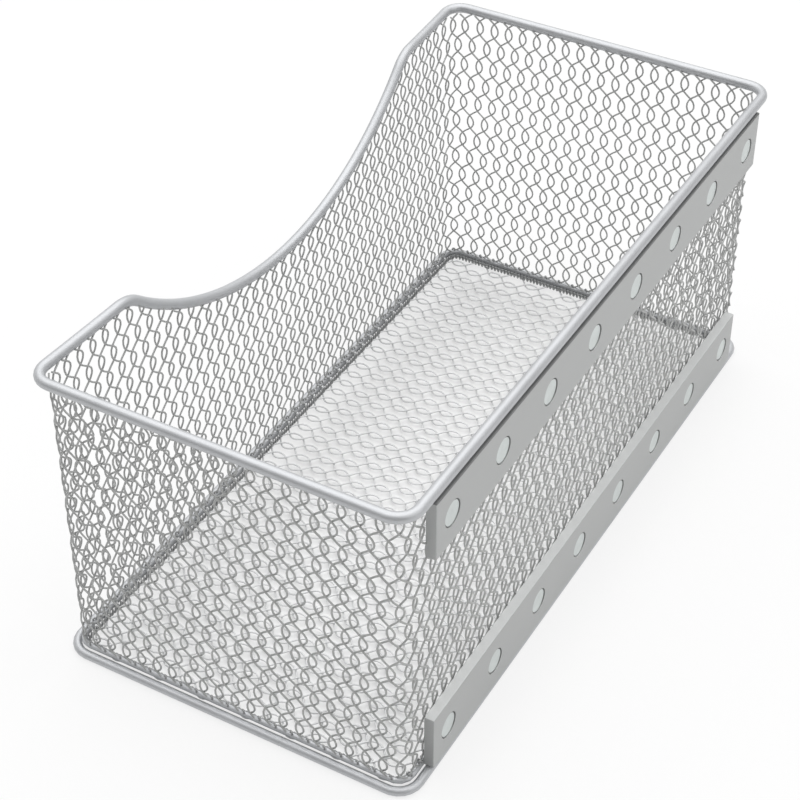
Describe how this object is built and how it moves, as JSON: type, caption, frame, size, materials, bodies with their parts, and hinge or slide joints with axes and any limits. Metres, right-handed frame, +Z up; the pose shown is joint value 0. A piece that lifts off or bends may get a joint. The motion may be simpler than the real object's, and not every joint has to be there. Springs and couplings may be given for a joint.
{
  "type": "wire locker basket",
  "caption": "Open wire-mesh basket with a round wire rim that dips at the front, hung by disc magnets in two steel bars on its back.",
  "frame": {"origin": "middle of the footprint, on the surface that the bottom ring stands on", "axes": "+X along the basket, +Y out of the back towards the door that the magnets hold, +Z up; the dipped front is at -Y"},
  "size_m": [0.3044, 0.1527, 0.1351],
  "materials": {
    "rim_wire": "satin silver paint on steel wire",
    "mesh_wire": "satin silver paint on fine steel wire",
    "bar_sheet": "satin silver paint on folded steel sheet",
    "magnet": "nickel plating, slightly dull"
  },
  "bodies": {
    "root": {"top_rim": "rim_wire", "bottom_ring": "rim_wire", "wall_mesh": "mesh_wire", "floor_mesh": "mesh_wire", "upper_bar": "bar_sheet", "lower_bar": "bar_sheet", "upper_magnet_1": "magnet", "upper_magnet_2": "magnet", "upper_magnet_3": "magnet", "upper_magnet_4": "magnet", "upper_magnet_5": "magnet", "upper_magnet_6": "magnet", "upper_magnet_7": "magnet", "upper_magnet_8": "magnet", "lower_magnet_1": "magnet", "lower_magnet_2": "magnet", "lower_magnet_3": "magnet", "lower_magnet_4": "magnet", "lower_magnet_5": "magnet", "lower_magnet_6": "magnet", "lower_magnet_7": "magnet", "lower_magnet_8": "magnet"}
  },
  "joints": []
}
